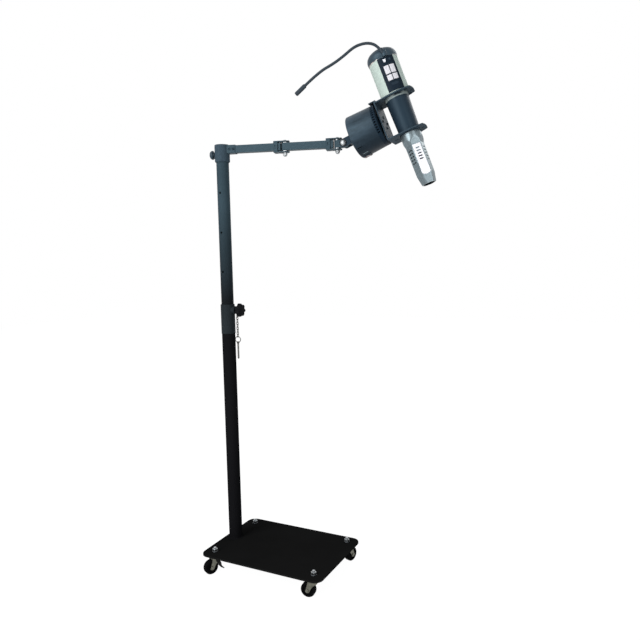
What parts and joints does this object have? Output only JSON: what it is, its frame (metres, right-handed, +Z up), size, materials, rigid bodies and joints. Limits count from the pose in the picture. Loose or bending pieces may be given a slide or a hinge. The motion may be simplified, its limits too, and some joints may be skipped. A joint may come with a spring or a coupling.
{
  "type": "pet grooming dryer on a rolling stand",
  "caption": "Rolling stand with a telescopic post, folding arm and drum-shaped swing motor whose ring-plate cradle holds a hand-held dryer with a faceted nozzle.",
  "frame": {"origin": "on the floor below the middle of the base plate", "axes": "+Z up from the floor; +X along the base plate's long side from the post towards the head; +Y across the base plate, away from the camera side"},
  "size_m": [0.6123, 0.3005, 1.4223],
  "materials": {
    "black_paint": "satin black powder coat",
    "tube_paint": "satin dark blue-grey powder coat",
    "arm_paint": "satin grey powder coat",
    "drum_paint": "satin charcoal paint",
    "cradle_paint": "satin charcoal paint",
    "zinc": "bright zinc plate",
    "dull_zinc": "dull yellow-grey zinc plate",
    "bright": "bright nickel plate",
    "dark_screw": "black oxide",
    "wheel_rubber": "black rubber on a black disc",
    "black_plastic": "grained black",
    "pale_plastic": "pale green-white gloss",
    "dark_plastic": "satin dark blue-grey",
    "white_plastic": "white gloss",
    "grey_plastic": "metallic grey-green gloss",
    "red_plastic": "dark red",
    "cord_rubber": "matt dark grey",
    "mica": "mica and resistance wire"
  },
  "bodies": {
    "stand": {"base_plate": "black_paint", "caster_studs": "zinc", "stud_washers": "zinc", "stud_nuts": "zinc", "lower_tube": "black_paint", "collar": "black_paint"},
    "caster_1": {"caster_fork_1": "dull_zinc"},
    "caster_2": {"caster_fork_2": "dull_zinc"},
    "caster_3": {"caster_fork_3": "dull_zinc"},
    "caster_4": {"caster_fork_4": "dull_zinc"},
    "wheel_1": {"caster_wheel_1": "wheel_rubber"},
    "wheel_2": {"caster_wheel_2": "wheel_rubber"},
    "wheel_3": {"caster_wheel_3": "wheel_rubber"},
    "wheel_4": {"caster_wheel_4": "wheel_rubber"},
    "brake": {"brake_lever": "dull_zinc"},
    "height_screw": {"clamp_screw": "zinc", "height_knob": "black_plastic"},
    "chain": {"pin_chain": "bright", "split_ring": "bright", "lock_pin": "bright"},
    "inner_post": {"upper_tube": "tube_paint"},
    "arm_1": {"swivel_sleeve": "tube_paint", "sleeve_cap": "black_plastic", "arm_bracket": "arm_paint", "bracket_screws": "dark_screw", "arm_tube_1": "arm_paint", "elbow_fork_1": "arm_paint", "elbow_bolt_1": "bright", "fork_screws_1": "bright"},
    "sleeve_lock": {"top_knob": "black_plastic"},
    "arm_2": {"arm_tube_2": "arm_paint", "elbow_fork_2": "arm_paint", "elbow_bolt_2": "bright", "fork_screws_2": "bright"},
    "link": {"tilt_link": "arm_paint", "tilt_bolt": "bright"},
    "head": {"head_bracket": "drum_paint", "motor_housing": "drum_paint", "motor_front_ring": "drum_paint", "gear_motor": "dull_zinc"},
    "switch": {"rocker_switch": "red_plastic"},
    "cradle": {"turntable": "dark_screw", "cradle_bracket": "cradle_paint", "cradle_screws": "dark_screw"},
    "dryer": {"dryer_shell": "pale_plastic", "dryer_cap": "dark_plastic", "control_strip": "dark_plastic", "dryer_barrel": "dark_plastic", "dryer_nozzle": "grey_plastic", "nozzle_panel": "white_plastic", "fan_motor": "dull_zinc", "heater": "mica", "strain_relief": "cord_rubber", "cord": "cord_rubber", "connector": "cord_rubber"},
    "fan": {"fan": "black_plastic"},
    "button_1": {"button_1": "white_plastic"},
    "button_2": {"button_2": "white_plastic"},
    "button_3": {"button_3": "white_plastic"},
    "button_4": {"button_4": "white_plastic"}
  },
  "joints": [
    {"name": "caster_swivel_1", "type": "hinge", "parent": "stand", "child": "caster_1", "pos_m": [-0.157, -0.104, 0.05], "axis": [0, 0, 1], "continuous": true},
    {"name": "wheel_spin_1", "type": "hinge", "parent": "caster_1", "child": "wheel_1", "pos_m": [-0.16404, -0.11724, 0.02], "axis": [0.8829, -0.4695, 0], "continuous": true},
    {"name": "caster_swivel_2", "type": "hinge", "parent": "stand", "child": "caster_2", "pos_m": [0.157, -0.104, 0.05], "axis": [0, 0, 1], "continuous": true},
    {"name": "wheel_spin_2", "type": "hinge", "parent": "caster_2", "child": "wheel_2", "pos_m": [0.14211, -0.10583, 0.02], "axis": [0.1219, -0.9925, 0], "continuous": true},
    {"name": "caster_swivel_3", "type": "hinge", "parent": "stand", "child": "caster_3", "pos_m": [0.157, 0.104, 0.05], "axis": [0, 0, 1], "continuous": true},
    {"name": "wheel_spin_3", "type": "hinge", "parent": "caster_3", "child": "wheel_3", "pos_m": [0.16088, 0.11849, 0.02], "axis": [-0.9659, 0.2588, 0], "continuous": true},
    {"name": "caster_swivel_4", "type": "hinge", "parent": "stand", "child": "caster_4", "pos_m": [-0.157, 0.104, 0.05], "axis": [0, 0, 1], "continuous": true},
    {"name": "wheel_spin_4", "type": "hinge", "parent": "caster_4", "child": "wheel_4", "pos_m": [-0.16999, 0.1115, 0.02], "axis": [-0.5, -0.866, 0], "continuous": true},
    {"name": "brake_press", "type": "hinge", "parent": "caster_1", "child": "brake", "pos_m": [-0.157, -0.104, 0.036], "axis": [-0.8829, 0.4695, 0], "range_deg": [0, 8]},
    {"name": "height_slide", "type": "slide", "parent": "stand", "child": "inner_post", "axis": [0, 0, 1], "range_m": [-0.33, 0.11]},
    {"name": "height_knob_turn", "type": "hinge", "parent": "stand", "child": "height_screw", "pos_m": [-0.13, 0, 0.736], "axis": [1, 0, 0], "range_deg": [-180, 180]},
    {"name": "chain_swing", "type": "hinge", "parent": "stand", "child": "chain", "pos_m": [-0.1263, 0, 0.736], "axis": [1, 0, 0], "range_deg": [-55, 55]},
    {"name": "arm_swivel", "type": "hinge", "parent": "inner_post", "child": "arm_1", "pos_m": [-0.158, 0, 1.184], "axis": [0, 0, 1], "range_deg": [-170, 170]},
    {"name": "sleeve_knob_turn", "type": "hinge", "parent": "arm_1", "child": "sleeve_lock", "pos_m": [-0.18182, -0.0076, 1.171], "axis": [-0.9527, -0.304, 0], "range_deg": [-180, 180]},
    {"name": "elbow_1_fold", "type": "hinge", "parent": "arm_1", "child": "arm_2", "pos_m": [0.01348, 0.05473, 1.184], "axis": [0, 0, 1], "range_deg": [-80, 80]},
    {"name": "elbow_2_fold", "type": "hinge", "parent": "arm_2", "child": "link", "pos_m": [0.152, 0.09893, 1.184], "axis": [0, 0, 1], "range_deg": [-62, 72]},
    {"name": "head_tilt", "type": "hinge", "parent": "link", "child": "head", "pos_m": [0.17344, 0.10047, 1.184], "axis": [0.0715, -0.9974, 0], "range_deg": [-55, 40]},
    {"name": "rocker_tip", "type": "hinge", "parent": "head", "child": "switch", "pos_m": [0.23727, 0.10504, 1.15045], "axis": [-0.0715, 0.9974, 0], "range_deg": [-6, 6]},
    {"name": "cradle_swing", "type": "hinge", "parent": "head", "child": "cradle", "pos_m": [0.28401, 0.1084, 1.22589], "axis": [0.9331, 0.0669, 0.3535], "range_deg": [-45, 45]},
    {"name": "dryer_lift", "type": "slide", "parent": "cradle", "child": "dryer", "axis": [-0.3526, -0.0253, 0.9354], "range_m": [0, 0.26]},
    {"name": "fan_spin", "type": "hinge", "parent": "dryer", "child": "fan", "pos_m": [0.32511, 0.11134, 1.26818], "axis": [-0.3526, -0.0253, 0.9354], "continuous": true},
    {"name": "button_press_1", "type": "slide", "parent": "dryer", "child": "button_1", "axis": [-0.4591, 0.8757, -0.1494], "range_m": [0, 0.001], "stiffness_N_per_m": 800, "springref_m": -0.0005},
    {"name": "button_press_2", "type": "slide", "parent": "dryer", "child": "button_2", "axis": [-0.4591, 0.8757, -0.1494], "range_m": [0, 0.001], "stiffness_N_per_m": 800, "springref_m": -0.0005},
    {"name": "button_press_3", "type": "slide", "parent": "dryer", "child": "button_3", "axis": [-0.4591, 0.8757, -0.1494], "range_m": [0, 0.001], "stiffness_N_per_m": 800, "springref_m": -0.0005},
    {"name": "button_press_4", "type": "slide", "parent": "dryer", "child": "button_4", "axis": [-0.4591, 0.8757, -0.1494], "range_m": [0, 0.001], "stiffness_N_per_m": 800, "springref_m": -0.0005}
  ]
}
